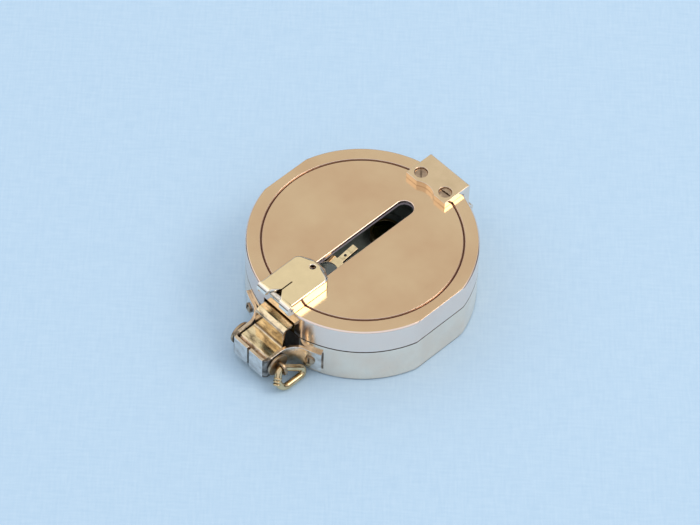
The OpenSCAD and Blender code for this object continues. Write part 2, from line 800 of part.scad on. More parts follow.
module sight_arm() {
    color(pale_brass)
        difference() {
            union() {
                translate([-arm_half, 0, 0])
                    rotate([90, 0, 90])
                    linear_extrude(2 * arm_half)
                    arm_side();
                on_blade() linear_extrude(arm_t) blade_outline();
            }
            x_rod(-arm_half - 1, arm_half + 1, pivot_y, pivot_z, sight_pin_r + run_gap);
        }
}

module sight_glass() {
    color(glass_tint)
        on_blade()
        translate([0, 0, (arm_t - pane_t) / 2])
        linear_extrude(pane_t)
        slot_outline(window_w - 2 * set_gap, 1.6 + set_gap, 1.6 + window_len - set_gap);
}

// Compass

module dial_plate() {
    color(silvered) tube(degree_r, arbor_r + 1.4, floor_z, dial_top);
}

module degree_ring() {
    color(silvered)
        difference() {
            tube(degree_r, degree_r - degree_w, dial_top, degree_top);
            rotate([0, 0, -lifter_a])
                translate([-lifter_slot_w / 2, degree_r - degree_w - 1, lifter_z - 1.2])
                cube([lifter_slot_w, degree_w + 2, 10]);
        }
}

module crystal() {
    color(glass_tint, 0.4)
        translate([0, 0, crystal_z]) cylinder(h = crystal_t - 0.02, r = bore_r - 0.08, $fn = 180);
}

module crystal_ring() {
    color(aged_brass) tube(bore_r - 0.04, ledge_r, crystal_top, bezel_top);
}

module needle() {
    color(steel)
        difference() {
            translate([0, 0, needle_z])
                linear_extrude(needle_t)
                polygon([[0, needle_r], [-needle_w / 2, 0], [0, -needle_r], [needle_w / 2, 0]]);
            translate([0, 0, needle_z - 1]) cylinder(h = 3, r = cap_r * 0.6 + set_gap, $fn = 48);
        }
}

module needle_cap() {
    color(gold)
        difference() {
            union() {
                translate([0, 0, cap_z]) cylinder(h = needle_z - cap_z, r = cap_r, $fn = 48);
                translate([0, 0, cap_z]) cylinder(h = cap_h, r = cap_r * 0.6, $fn = 48);
            }
            translate([0, 0, cap_z - 1]) cylinder(h = cap_h + 0.3, r = post_r + 0.2, $fn = 32);
        }
}

module round_level() {
    color(brass)
        rotate([0, 0, lifter_a])
        translate([0, round_out, dial_top])
        difference() {
            cylinder(h = round_h, r = round_r, $fn = 64);
            translate([0, 0, round_floor]) cylinder(h = round_h, r = round_r - round_wall, $fn = 64);
        }
}

module round_glass() {
    color(glass_tint)
        rotate([0, 0, lifter_a])
        translate([0, round_out, dial_top + round_floor])
        cylinder(h = round_h - round_floor - 0.3, r = round_r - round_wall - set_gap, $fn = 64);
}

// Clinometer arm, turned from below

module arbor() {
    color(brass) {
        translate([0, 0, lever_z + lever_t]) cylinder(h = vernier_z - lever_z - lever_t, r = arbor_r, $fn = 64);
        difference() {
            translate([0, 0, lever_z]) cylinder(h = vernier_top - lever_z, r = spigot_r, $fn = 48);
            translate([0, 0, lever_z - 1]) cylinder(h = 2.6, r = 0.55 + set_gap, $fn = 32);
        }
    }
}

module vernier_arm() {
    color(silvered)
        difference() {
            union() {
                translate([0, 0, vernier_z]) cylinder(h = vernier_t, r = arbor_r + 2, $fn = 64);
                translate([0, 0, vernier_z])
                    linear_extrude(vernier_t)
                    polygon([[-3, 0], [3, 0], [5, -vernier_r * 0.75], [2, -vernier_r], [-2, -vernier_r],
                        [-5, -vernier_r * 0.75]]);
                translate([-vial_len / 2, -vial_out - 1.5, vernier_z]) cube([vial_len, 3, vernier_t]);
            }
            translate([0, 0, vernier_z - 1]) cylinder(h = 4, r = spigot_r + set_gap, $fn = 48);
        }
}

module vial_holder() {
    color(brass)
        difference() {
            x_rod(-vial_len / 2, vial_len / 2, -vial_out, vial_z, vial_r);
            x_rod(-vial_len / 2 + 0.8, vial_len / 2 + 1, -vial_out, vial_z, vial_r - 0.45);
            translate([-vial_len / 2 + 3, -vial_out - vial_r - 1, vial_z + 0.4])
                cube([vial_len - 6, 2 * vial_r + 2, vial_r + 1]);
        }
}

module vial_glass() {
    color(glass_tint)
        x_rod(-vial_len / 2 + 0.85, vial_len / 2 - 0.4, -vial_out, vial_z, vial_r - 0.45 - set_gap);
}

module pivot_post() {
    color(steel)
        translate([0, 0, vernier_top]) {
            cylinder(h = 0.7, r = spigot_r + 0.6, $fn = 48);
            cylinder(h = cap_top - 0.9 - vernier_top - 0.9, r = post_r, $fn = 32);
            translate([0, 0, cap_top - 0.9 - vernier_top - 0.9]) cylinder(h = 0.9, r1 = post_r, r2 = 0.08, $fn = 32);
        }
}

module back_lever() {
    color(brass)
        difference() {
            union() {
                translate([0, 0, lever_z]) cylinder(h = lever_t, r = boss_r, $fn = 64);
                translate([-lever_w / 2, -lever_len + thumb_r - 1, lever_z])
                    cube([lever_w, lever_len - thumb_r + 1, lever_t]);
                translate([0, -lever_len + thumb_r - 1, lever_z])
                    cylinder(h = lever_t, r = thumb_r, $fn = 48);
            }
            translate([0, 0, lever_z - 1]) cylinder(h = 4, r = spigot_r + set_gap, $fn = 48);
        }
}

module lever_screw() {
    color(steel)
        translate([0, 0, lever_z])
        rotate([180, 0, 0])
        slotted_screw(2, 0.4, 0.2, 0.55, lever_t - 0.1);
}

module friction_washer() {
    color(steel) tube(washer_r, arbor_r + 0.05, lever_z + lever_t + 0.03, foot_h - 0.03);
}

// Needle lifter, pressed by the closed lid

module lift_pin() {
    color(steel)
        rotate([0, 0, -lifter_a])
        translate([0, lift_r, lifter_top + 0.05])
        cylinder(h = lower_h - lifter_top - 0.05, r = lift_pin_r, $fn = 48);
}

module lifter() {
    color(brass)
        rotate([0, 0, -lifter_a])
        difference() {
            union() {
                translate([-lifter_w / 2, fork_r - 0.5, lifter_z])
                    cube([lifter_w, lift_r + 0.6 - fork_r + 0.5, lifter_t]);
                translate([0, 0, lifter_z]) cylinder(h = lifter_t, r = fork_r, $fn = 64);
                x_rod(-lifter_w / 2, lifter_w / 2, rocker_r, rocker_z, ear_r - 0.1);
            }
            translate([0, 0, lifter_z - 1]) cylinder(h = 3, r = fork_gap / 2, $fn = 48);
            translate([-fork_gap / 2, -fork_r - 1, lifter_z - 1]) cube([fork_gap, fork_r + 1, 3]);
            x_rod(-5, 5, rocker_r, rocker_z, rocker_pin_r + run_gap);
        }
}

module lifter_bracket() {
    ear_x = lifter_w / 2 + 0.15;
    color(brass)
        rotate([0, 0, -lifter_a])
        difference() {
            union() {
                translate([-ear_x - 0.7, rocker_r - 1.6, dial_top]) cube([2 * ear_x + 1.4, 3.2, 0.6]);
                for (side = [-1, 1])
                    translate([side * (ear_x + 0.35) - 0.35, rocker_r - ear_r, dial_top])
                        cube([0.7, 2 * ear_r, rocker_z - dial_top]);
                for (side = [-1, 1])
                    x_rod(side * (ear_x + 0.35) - 0.35, side * (ear_x + 0.35) + 0.35, rocker_r, rocker_z,
                        ear_r);
            }
            x_rod(-5, 5, rocker_r, rocker_z, rocker_pin_r + set_gap);
        }
}

module lifter_pivot() {
    ear_x = lifter_w / 2 + 0.15;
    color(steel)
        rotate([0, 0, -lifter_a])
        x_rod(-ear_x - 0.7, ear_x + 0.7, rocker_r, rocker_z, rocker_pin_r);
}

case_body();
strap_left();
strap_right();
strap_screws();
sight_pin();
ring_nut();
hinge_leaf();
leaf_screws();
hinge_pin();
dial_plate();
degree_ring();
crystal();
crystal_ring();
lifter_bracket();
lifter_pivot();
round_level();
round_glass();
lid_shell();
mirror_disc();
mirror_ring();
hinge_plate();
hinge_screws();
hood_block();
hood();
hood_pin();
sight_arm();
sight_glass();
needle();
needle_cap();
arbor();
vernier_arm();
vial_holder();
vial_glass();
pivot_post();
back_lever();
lever_screw();
friction_washer();
lift_pin();
lifter();
lanyard_ring();
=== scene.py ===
import json
import math

import bmesh
import bpy
from mathutils import Matrix, Vector


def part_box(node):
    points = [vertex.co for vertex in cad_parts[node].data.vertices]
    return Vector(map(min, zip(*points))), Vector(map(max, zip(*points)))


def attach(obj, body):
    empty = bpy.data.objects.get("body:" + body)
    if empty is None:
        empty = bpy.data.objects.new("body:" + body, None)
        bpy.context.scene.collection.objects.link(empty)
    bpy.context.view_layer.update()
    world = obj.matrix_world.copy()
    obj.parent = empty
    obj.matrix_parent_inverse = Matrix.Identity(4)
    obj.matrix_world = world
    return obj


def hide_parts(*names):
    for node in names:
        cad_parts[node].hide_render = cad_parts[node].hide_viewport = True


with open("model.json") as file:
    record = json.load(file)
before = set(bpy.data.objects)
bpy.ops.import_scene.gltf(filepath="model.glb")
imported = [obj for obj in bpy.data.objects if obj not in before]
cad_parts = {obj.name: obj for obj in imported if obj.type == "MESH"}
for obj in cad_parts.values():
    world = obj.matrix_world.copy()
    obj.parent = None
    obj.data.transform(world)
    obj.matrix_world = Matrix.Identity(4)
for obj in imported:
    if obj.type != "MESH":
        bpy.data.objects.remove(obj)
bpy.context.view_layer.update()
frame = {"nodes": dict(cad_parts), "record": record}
nodes = frame["nodes"]
scene = bpy.context.scene
mm = 0.001
slotOf = {part["node"]: part["material_slot"] for part in frame["record"]["subparts"]}
bodyOf = {name: body for body, names in frame["record"]["behaviour"]["bodies"].items() for name in names}
print("frame loaded:", len(nodes), "nodes")


# Nodes of the materials

def linear(hexColour):
    # sRGB hex to linear RGBA
    parts = [int(hexColour[i:i + 2], 16) / 255 for i in (1, 3, 5)]
    return [c / 12.92 if c <= 0.04045 else ((c + 0.055) / 1.055) ** 2.4 for c in parts] + [1.0]


def newMaterial(name):
    material = bpy.data.materials.new(name)
    material.use_nodes = True
    material.node_tree.nodes.clear()
    return material, material.node_tree


def addNode(tree, kind, settings=None, links=None):
    # one node with its settings (socket names, socket numbers or attributes) and its incoming links
    node = tree.nodes.new(kind)
    for key, value in (settings or {}).items():
        if isinstance(key, int) or key in node.inputs:
            node.inputs[key].default_value = value
        else:
            setattr(node, key, value)
    for key, source in (links or {}).items():
        tree.links.new(source, node.inputs[key])
    return node


def addMath(tree, operation, *values):
    # each value is a number or another node's output
    numbers = {socket: value for socket, value in enumerate(values) if isinstance(value, (int, float))}
    links = {socket: value for socket, value in enumerate(values) if socket not in numbers}
    return addNode(tree, "ShaderNodeMath", {"operation": operation, **numbers}, links).outputs[0]


def addRange(tree, value, source=(0.0, 1.0), target=(0.0, 1.0)):
    # a value carried over from one span to another, and held inside it
    settings = {"From Min": source[0], "From Max": source[1], "To Min": target[0], "To Max": target[1]}
    return addNode(tree, "ShaderNodeMapRange", settings, {"Value": value}).outputs[0]


def addBand(tree, value, lower, upper):
    # 1 where a value in metres lies between two limits in mm
    return addMath(tree, "COMPARE", value, (lower + upper) / 2 * mm, (upper - lower) / 2 * mm)


def addMapping(tree, place, settings):
    return addNode(tree, "ShaderNodeMapping", settings, {"Vector": place}).outputs[0]


def addNoise(tree, place, size, detail=3.0, roughness=0.5):
    # size of the grains in mm
    settings = {"Scale": 1 / (size * mm), "Detail": detail, "Roughness": roughness}
    return addNode(tree, "ShaderNodeTexNoise", settings, {"Vector": place}).outputs["Fac"]


def addTones(tree, factor, tones, span=(0.3, 0.7)):
    # from the first hex colour to the second as the factor crosses the span
    node = addNode(tree, "ShaderNodeValToRGB", None, {"Fac": factor})
    for element, place, tone in zip(node.color_ramp.elements, span, tones):
        element.position = place
        element.color = linear(tone)
    return node.outputs["Color"]


def addMix(tree, share, first, second):
    # each colour is hex or another node's output; sockets 6 and 7 are the node's colour inputs
    colours = {6: first, 7: second}
    settings = {socket: linear(colour) for socket, colour in colours.items() if isinstance(colour, str)}
    links = {socket: colour for socket, colour in colours.items() if socket not in settings}
    return addNode(tree, "ShaderNodeMix", {"data_type": "RGBA", **settings}, {0: share, **links}).outputs[2]


def addBump(tree, height, strength, depth):
    # depth in mm
    settings = {"Strength": strength, "Distance": depth * mm}
    return addNode(tree, "ShaderNodeBump", settings, {"Height": height}).outputs["Normal"]


def addSurface(tree, settings, links):
    shader = addNode(tree, "ShaderNodeBsdfPrincipled", settings, links)
    addNode(tree, "ShaderNodeOutputMaterial", None, {"Surface": shader.outputs["BSDF"]})


def objectPlace(tree):
    return addNode(tree, "ShaderNodeTexCoord").outputs["Object"]


def upwardness(tree):
    # 1 where a face looks straight up or down, 0 where it is upright
    normal = addNode(tree, "ShaderNodeTexCoord").outputs["Normal"]
    facing = addNode(tree, "ShaderNodeSeparateXYZ", None, {"Vector": normal})
    return addMath(tree, "ABSOLUTE", facing.outputs["Z"])


# Camera, at the photograph's angle

camera = {
    "lens": 205.714,  # mm
    "sensor": 36,  # mm
    "yaw": 0.782891085,  # turn about Z from looking along +Y
    "pitch": 0.914101275,  # downward tilt
    "roll": 0.0347353780,
    "distance": 1.31367399,
    "right": -0.00382413,  # the aim's offset in the picture plane
    "up": 0.00759652,
}


def makeCamera():
    yaw, pitch, roll = camera["yaw"], camera["pitch"], camera["roll"]
    forward = Vector((-math.sin(yaw) * math.cos(pitch), math.cos(yaw) * math.cos(pitch), -math.sin(pitch)))
    right = Vector((math.cos(yaw), math.sin(yaw), 0))
    up = right.cross(forward)
    eye = -forward * camera["distance"] + right * camera["right"] + up * camera["up"]
    rolledRight = right * math.cos(roll) + up * math.sin(roll)
    rolledUp = up * math.cos(roll) - right * math.sin(roll)
    data = bpy.data.cameras.new("photoCamera")
    data.lens = camera["lens"]
    data.sensor_width = camera["sensor"]
    data.clip_start = 0.05
    data.clip_end = 20
    holder = bpy.data.objects.new("photoCamera", data)
    turn = Matrix((rolledRight, rolledUp, -forward)).transposed()
    holder.matrix_world = Matrix.Translation(eye) @ turn.to_4x4()
    scene.collection.objects.link(holder)
    scene.camera = holder


makeCamera()


# Floor and light

studio = {
    "floorSize": 4.0,
    "floorDrop": 0.1,  # mm under the base
    "clothTones": ("#C2DEF4", "#CAE4F8"),
    "clothSpan": (0.36, 0.64),  # noise over which one tone gives way to the other
    "threadPitch": 0.9,  # mm; real threads of 0.3 mm are too fine to show, so they are drawn coarser
    "threadStretch": 0.12,
    "threadDepth": 0.3,  # mm
    "keyPower": 11.0,
    "keyColour": "#FFF3E4",
    "keySize": 1.0,
    "keyPlace": (0.95, 0.95, 1.75),
    "fillPower": 2.0,
    "fillColour": "#FFFFFF",
    "fillSize": 1.4,
    "fillPlace": (-1.1, -0.6, 1.3),
    "skyStrength": 0.9,  # overhead
    "horizonStrength": 0.1,  # low down, where a room's walls are darker than its ceiling
    "horizonHeights": (0.06, 0.46),  # sines of the elevations between which the walls give way to the ceiling
    "worldColour": "#F1F5FC",
}


def clothMaterial():
    # pale blue cotton cloth, plainly woven: a soft matt ground with faint uneven threads both ways
    material, tree = newMaterial("floorCottonCloth")
    turned = addMapping(tree, objectPlace(tree), {"Rotation": (0, 0, camera["yaw"])})
    warp, weft = [addNoise(tree, addMapping(tree, turned, {"Scale": scale}), studio["threadPitch"])
                  for scale in ((1.0, studio["threadStretch"], 1.0), (studio["threadStretch"], 1.0, 1.0))]
    threads = addMath(tree, "ADD", warp, weft)
    tint = addTones(tree, addMath(tree, "MULTIPLY", threads, 0.5), studio["clothTones"], studio["clothSpan"])
    relief = addBump(tree, threads, strength=0.15, depth=studio["threadDepth"])
    addSurface(tree, {"Roughness": 0.95, "Specular IOR Level": 0.1}, {"Base Color": tint, "Normal": relief})
    return material


def areaLight(name, part):
    data = bpy.data.lights.new(name, "AREA")
    data.energy = studio[part + "Power"]
    data.color = linear(studio[part + "Colour"])[:3]
    data.size = studio[part + "Size"]
    holder = bpy.data.objects.new(name, data)
    holder.location = studio[part + "Place"]
    holder.rotation_mode = "QUATERNION"
    holder.rotation_quaternion = (-Vector(studio[part + "Place"])).to_track_quat("-Z", "Y")
    scene.collection.objects.link(holder)


def makeWorld():
    world = bpy.data.worlds.new("studioAir")
    world.use_nodes = True
    scene.world = world
    tree = world.node_tree
    back = tree.nodes["Background"]
    back.inputs["Color"].default_value = linear(studio["worldColour"])
    aim = addNode(tree, "ShaderNodeTexCoord").outputs["Generated"]
    height = addNode(tree, "ShaderNodeSeparateXYZ", None, {"Vector": aim}).outputs["Z"]
    low, high = studio["horizonHeights"]
    glow = addNode(tree, "ShaderNodeMapRange",
                   {"interpolation_type": "SMOOTHSTEP", "From Min": low, "From Max": high,
                    "To Min": studio["horizonStrength"], "To Max": studio["skyStrength"]}, {"Value": height})
    tree.links.new(glow.outputs[0], back.inputs["Strength"])


def makeStudio():
    shape = bmesh.new()
    bmesh.ops.create_grid(shape, x_segments=1, y_segments=1, size=studio["floorSize"] / 2)
    mesh = bpy.data.meshes.new("floor")
    shape.to_mesh(mesh)
    shape.free()
    floor = bpy.data.objects.new("floor", mesh)
    floor.location = (0, 0, -studio["floorDrop"] * mm)
    scene.collection.objects.link(floor)
    floor.data.materials.append(clothMaterial())
    areaLight("keySoftbox", "key")
    areaLight("fillSoftbox", "fill")
    makeWorld()


makeStudio()
scene.view_settings.view_transform = "Standard"
print("camera and studio made")


# Materials

brass = {
    "topSpan": (0.82, 0.985),  # how squarely a face looks up, from the upright tones, which mostly carry a painted highlight, to the top ones
    "stainStretch": (0.45, 1.0, 1.0),
    "stainSpan": (0.48, 0.68),  # noise over which handling marks come in
    "creviceSpan": (0.3, 0.72),  # openness over which a corner's painted shade and grime thin out
    "creviceGrimeAndShade": 0.9,  # its share in the closest corners
    "seamBelow": 0.97,  # only faces that look up less squarely than this take a seam's dark band
    "lineSpan": (0.38, 0.58),  # noise over which the painted shadow and reflection lines beside the straps go from faint to strong
    "lineShade": (0.45, 0.9),
    "cornerSpan": (0.35, 0.65),  # the same for the painted shade in the recess
    "cornerShade": (0.78, 0.95),
    "scratchSize": 0.7,  # mm
    "scratchStretch": (1.0, 0.08, 1.0),
    "scratchStrength": 0.05,
    "scratchDepth": 0.03,  # mm
    "sheen": (0.75, 1.3),  # shares of the roughness, in clean and in clouded patches
    "grimeAndShadeMatt": 0.3,  # roughness that full grime and painted shade add
}


def addZone(tree, spot, zone, limits, strength):
    # a zone kept only where each (axis, comparison, limit in mm) holds, and given its strength
    for axis, comparison, limit in limits:
        held = addMath(tree, comparison, spot.outputs[axis], limit * mm)
        zone = addMath(tree, "MULTIPLY", zone, held)
    return addMath(tree, "MULTIPLY", zone, strength)


def brassMaterial(name, top, sideAndHighlight, roughness, mottle, grimeAndShade="#3F2C20", crevice=0.8, rings=(), seamsAndShadows=(),
                  shadedCorner=None, shadowAndReflectionLine=None, stain=None):
    # cast or rolled brass, turned, polished and lacquered: clear soft reflections, faint mottling where the
    # lacquer has aged, hair scratches, and darkening in grooves and corners, which is painted shade with
    # polish grime top and side are (dull, bright) pairs for faces that look up and for the upright ones and
    # edge roundings, mostly paler, partly from the bare polish and partly as a painted highlight;
    # mottle and crevice are sizes in mm, and the places that follow are in mm too: rings are (inner, outer)
    # radii of turned grooves drawn as dark bands, seams (lower, upper) heights of dark bands along joints and
    # of a painted contact shadow at the base, corner is the (half width, front, top) of a recess given painted
    # shade, and outline the (inner, outer, front, lowest, top) of a dark line: a painted shadow beside the
    # ends of the straps, and a painted dark reflection where they bend; stain is (colour, size, amount) of
    # brown handling marks
    material, tree = newMaterial(name)
    place = objectPlace(tree)
    spot = addNode(tree, "ShaderNodeSeparateXYZ", None, {"Vector": place})
    upward = upwardness(tree)
    patches = addNoise(tree, place, mottle, detail=4.0, roughness=0.55)
    # upright faces and edge roundings take the side tones: partly the bare polish, partly a painted highlight
    colour = addMix(tree, addRange(tree, upward, brass["topSpan"]),
                    addTones(tree, patches, sideAndHighlight), addTones(tree, patches, top))
    if stain:
        mark, size, amount = stain
        smeared = addMapping(tree, place, {"Scale": brass["stainStretch"]})
        blots = addNoise(tree, smeared, size, detail=6.0, roughness=0.65)
        colour = addMix(tree, addRange(tree, blots, brass["stainSpan"], (0.0, amount)), colour, mark)
    # the ambient occlusion darkens corners and crevices: painted shade, with polish grime
    hollow = addNode(tree, "ShaderNodeAmbientOcclusion",
                     {"samples": 6, "only_local": True, "Distance": crevice * mm})
    marks = []
    if rings:
        flat = addNode(tree, "ShaderNodeVectorMath", {"operation": "MULTIPLY", 1: (1.0, 1.0, 0.0)},
                       {0: place})
        radius = addNode(tree, "ShaderNodeVectorMath", {"operation": "LENGTH"}, {0: flat.outputs[0]})
        marks += [addBand(tree, radius.outputs["Value"], inner, outer) for inner, outer in rings]
    if seamsAndShadows:
        upright = addMath(tree, "LESS_THAN", upward, brass["seamBelow"])
        marks += [addMath(tree, "MULTIPLY", addBand(tree, spot.outputs["Z"], lower, upper), upright)
                  for lower, upper in seamsAndShadows]
    # a dark line along the straps' ends and bends: painted shadow and painted dark reflection
    if shadowAndReflectionLine:
        inner, outer, front, lowest, highest = shadowAndReflectionLine
        line = addBand(tree, addMath(tree, "ABSOLUTE", spot.outputs["X"]), inner, outer)
        marks.append(addZone(tree, spot, line, (("Y", "LESS_THAN", front), ("Z", "GREATER_THAN", lowest),
                                                ("Z", "LESS_THAN", highest)),
                             addRange(tree, patches, brass["lineSpan"], brass["lineShade"])))
    # painted shade in a recess
    if shadedCorner:
        halfWidth, front, highest = shadedCorner
        marks.append(addZone(tree, spot, addBand(tree, spot.outputs["X"], -halfWidth, halfWidth),
                             (("Y", "LESS_THAN", front), ("Z", "LESS_THAN", highest)),
                             addRange(tree, patches, brass["cornerSpan"], brass["cornerShade"])))
    dirtAndShade = addRange(tree, hollow.outputs["AO"], brass["creviceSpan"], (brass["creviceGrimeAndShade"], 0.0))
    for mark in marks:
        dirtAndShade = addMath(tree, "MAXIMUM", dirtAndShade, mark)
    drawn = addMapping(tree, place, {"Scale": brass["scratchStretch"]})
    scratches = addNoise(tree, drawn, brass["scratchSize"])
    sheen = addRange(tree, patches, target=[roughness * share for share in brass["sheen"]])
    addSurface(tree, {"Metallic": 1.0},
               {"Base Color": addMix(tree, dirtAndShade, colour, grimeAndShade),
                "Roughness": addMath(tree, "MULTIPLY_ADD", dirtAndShade, brass["grimeAndShadeMatt"], sheen),
                "Normal": addBump(tree, scratches, brass["scratchStrength"], brass["scratchDepth"])})
    return material


def glassMaterial(name, tint):
    # ground and polished sheet glass, or a drawn tube: clear, with the faintest unevenness
    material, tree = newMaterial(name)
    waves = addNoise(tree, objectPlace(tree), size=5, detail=2.0)
    glass = addNode(tree, "ShaderNodeBsdfPrincipled",
                    {"Base Color": linear(tint), "Roughness": 0.0, "IOR": 1.5, "Transmission Weight": 1.0},
                    {"Normal": addBump(tree, waves, strength=0.02, depth=0.01)})
    # shadow rays go straight through, so that light reaches the dial
    clear = addNode(tree, "ShaderNodeBsdfTransparent", {"Color": linear(tint)})
    kind = addNode(tree, "ShaderNodeLightPath")
    mixed = addNode(tree, "ShaderNodeMixShader", None,
                    {0: kind.outputs["Is Shadow Ray"], 1: glass.outputs["BSDF"], 2: clear.outputs["BSDF"]})
    addNode(tree, "ShaderNodeOutputMaterial", None, {"Surface": mixed.outputs[0]})
    return material


def platedMaterial(name, tones, metallic, roughness, grain):
    # plated or silvered metal, or turned steel: an even surface with a fine turned grain; grain is in mm
    material, tree = newMaterial(name)
    grains = addNoise(tree, objectPlace(tree), grain)
    addSurface(tree, {"Metallic": metallic, "Roughness": roughness},
               {"Base Color": addTones(tree, grains, tones),
                "Normal": addBump(tree, grains, strength=0.04, depth=0.02)})
    return material


def groundGlassMaterial():
    # silvered plate glass: a clean reflecting back, and cut edges ground to a matt grey
    material, tree = newMaterial("silveredMirrorGlass")
    face = addMath(tree, "GREATER_THAN", upwardness(tree), 0.5)
    silver = addTones(tree, addNoise(tree, objectPlace(tree), size=4), ("#DDE1E4", "#E6EAEC"))
    addSurface(tree, None, {"Base Color": addMix(tree, face, "#B9AFB6", silver),
                            "Roughness": addRange(tree, face, target=(0.5, 0.03)), "Metallic": face})
    return material


def bluedNeedleMaterial():
    # spring steel, ground thin: one half left bright, the half that points north heated to a dark blue
    material, tree = newMaterial("bluedNeedleSteel")
    place = objectPlace(tree)
    along = addNode(tree, "ShaderNodeSeparateXYZ", None, {"Vector": place})
    north = addRange(tree, along.outputs["Y"], (-0.4 * mm, 0.4 * mm))
    grain = addNoise(tree, place, size=0.8)
    bright = addTones(tree, grain, ("#A9ADB1", "#C2C6CA"))
    blue = addTones(tree, grain, ("#1A2448", "#2B3868"))
    addSurface(tree, {"Metallic": 1.0, "Roughness": 0.25}, {"Base Color": addMix(tree, north, bright, blue)})
    return material


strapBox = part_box("strap_right")
strapEnd = strapBox[1][0] / mm - 0.55  # where the slanting end meets the wall
finishes = {
    # the case's walls, turned and polished bare, are paler than the lacquered tops; in most finishes the paler
    # upright tones also carry a painted highlight on walls and edge roundings
    "case_brass": brassMaterial("polishedCaseBrass", ("#E2CBB4", "#EFDCC6"), ("#FBE4D0", "#FFF1E0"),
                                # the lowest seam band, at the base, is a painted contact shadow
                                roughness=0.17, mottle=9, crevice=0.4, seamsAndShadows=((14.5, 14.72), (-0.1, 0.25)),
                                # painted shade in the recess between the straps
                                shadedCorner=(9.4, -36.6, 14.6),
                                # a painted shadow line on the wall beside the straps' ends
                                shadowAndReflectionLine=(strapEnd, strapEnd + 0.4, -30.0, strapBox[0][2] / mm,
                                         strapBox[1][2] / mm)),
    "lid_brass": brassMaterial("lacqueredLidBrass", ("#DAB58B", "#E5C69A"), ("#FFE3D3", "#FFEDE0"),
                               roughness=0.16, mottle=22, grimeAndShade="#5E3E32", crevice=0.3,
                               rings=((32.62, 33.16),), seamsAndShadows=((14.7, 14.98),)),
    "pale_brass": brassMaterial("polishedSheetBrass", ("#DDC196", "#EACDA2"), ("#F0DECC", "#FFEDDF"),
                                roughness=0.12, mottle=6, crevice=0.5),
    "aged_brass": brassMaterial("dulledBrass", ("#8C7558", "#BCA27A"), ("#97816A", "#C8B094"),
                                roughness=0.3, mottle=3, crevice=1.2),
    "ring_brass": brassMaterial("drawnBrassWire", ("#C8A877", "#ECD3A4"), ("#CCB084", "#F0DCB4"),
                                roughness=0.14, mottle=4),
    "inner_brass": brassMaterial("satinInnerBrass", ("#C2A06A", "#D8BA86"), ("#CDB083", "#E2C99C"),
                                 roughness=0.32, mottle=6),
    "silvered": platedMaterial("silveredDialMetal", ("#BDBCB6", "#C9C8C3"), metallic=0.2, roughness=0.4,
                               grain=0.4),
    "blued_steel": bluedNeedleMaterial(),
    "steel": platedMaterial("turnedSteel", ("#8E9296", "#A6AAAE"), metallic=1.0, roughness=0.3, grain=0.6),
    "mirror": groundGlassMaterial(),
    "clear_glass": glassMaterial("clearGlass", "#F2FAFA"),
}
strapFinish = brassMaterial("handledStrapBrass", ("#CDB594", "#E6D0AE"), ("#DCD6D0", "#FFF8F2"),
                            roughness=0.24, mottle=2.5, grimeAndShade="#4A443E",
                            shadowAndReflectionLine=(6.6, 9.6, -47.8, -1.0, 15.0),  # painted dark reflection where the straps bend at the front
                            stain=("#756D63", 2.2, 0.38))
hoodFinish = brassMaterial("polishedHoodBrass", ("#F2D8A6", "#FCE2AE"), ("#FFF0DE", "#FFF8EE"),
                           roughness=0.1, mottle=6, crevice=0.5)
screwFinish = brassMaterial("dulledScrewBrass", ("#9A8068", "#C6AC8C"), ("#A48C76", "#CEB69A"),
                            roughness=0.25, mottle=2, crevice=0.9)
levelFinish = glassMaterial("levelSpiritGlass", "#E3EFA9")  # glass filled with yellow-green spirit
ownFinish = {
    "sight_arm": brassMaterial("handledArmBrass", ("#E2C896", "#FAE3B2"), ("#CFB694", "#F4E0C8"),
                               roughness=0.13, mottle=4, crevice=1.2,
                               stain=("#56402C", 2.2, 0.8)),  # brown marks where fingers lift the arm
    "strap_left": strapFinish,
    "strap_right": strapFinish,
    "hinge_screws": screwFinish,
    "strap_screws": screwFinish,
    "leaf_screws": screwFinish,
    "hood_block": brassMaterial("wornBlockBrass", ("#D6CAB6", "#F4EBDC"), ("#CFC2AE", "#EDE2D0"),
                                roughness=0.18, mottle=2, stain=("#4A3E34", 0.9, 0.7)),
    "vernier_arm": platedMaterial("silveredVernierMetal", ("#B4B1A8", "#C6C3BA"), metallic=0.4,
                                  roughness=0.3, grain=0.4),
    "round_glass": levelFinish,
    "vial_glass": levelFinish,
}
for name, node in nodes.items():
    node.data.materials.clear()
    node.data.materials.append(ownFinish.get(name, finishes[slotOf[name]]))
print("materials set")


# Metal pieces with the rounded edges that filing and polishing leave

merging = {
    "weld": 0.002,  # mm between points that are one
    "flat": 0.5,  # degrees between faces that are one
    "sliver": 0.06,  # mm; shorter edges would tear a rounding
    "nothing": 0.001,  # mm
}
sharpAngle = 32  # degrees; edges that turn more are rounded, and those that are left stay crisp


def mergedCopy(name):
    # a CAD node's triangles joined up, with its flat faces made whole
    shape = bmesh.new()
    shape.from_mesh(nodes[name].data)
    bmesh.ops.remove_doubles(shape, verts=shape.verts, dist=merging["weld"] * mm)
    bmesh.ops.dissolve_limit(shape, angle_limit=math.radians(merging["flat"]), use_dissolve_boundaries=False,
                             verts=shape.verts, edges=shape.edges, delimit={"NORMAL"})
    bmesh.ops.remove_doubles(shape, verts=shape.verts, dist=merging["sliver"] * mm)
    bmesh.ops.dissolve_degenerate(shape, dist=merging["nothing"] * mm, edges=shape.edges)
    return shape


def roundEdges(shape, width, segments=3, pick=None):
    # pick says yes or no to an edge by its middle, in mm
    edges = [edge for edge in shape.edges
             if edge.is_manifold and edge.is_convex and edge.calc_face_angle(0) > math.radians(sharpAngle)
             and (pick is None or pick((edge.verts[0].co + edge.verts[1].co) / 2 / mm))]
    bmesh.ops.bevel(shape, geom=edges, offset=width * mm, offset_type="OFFSET", segments=segments,
                    profile=0.5, affect="EDGES", clamp_overlap=False, material=-1)


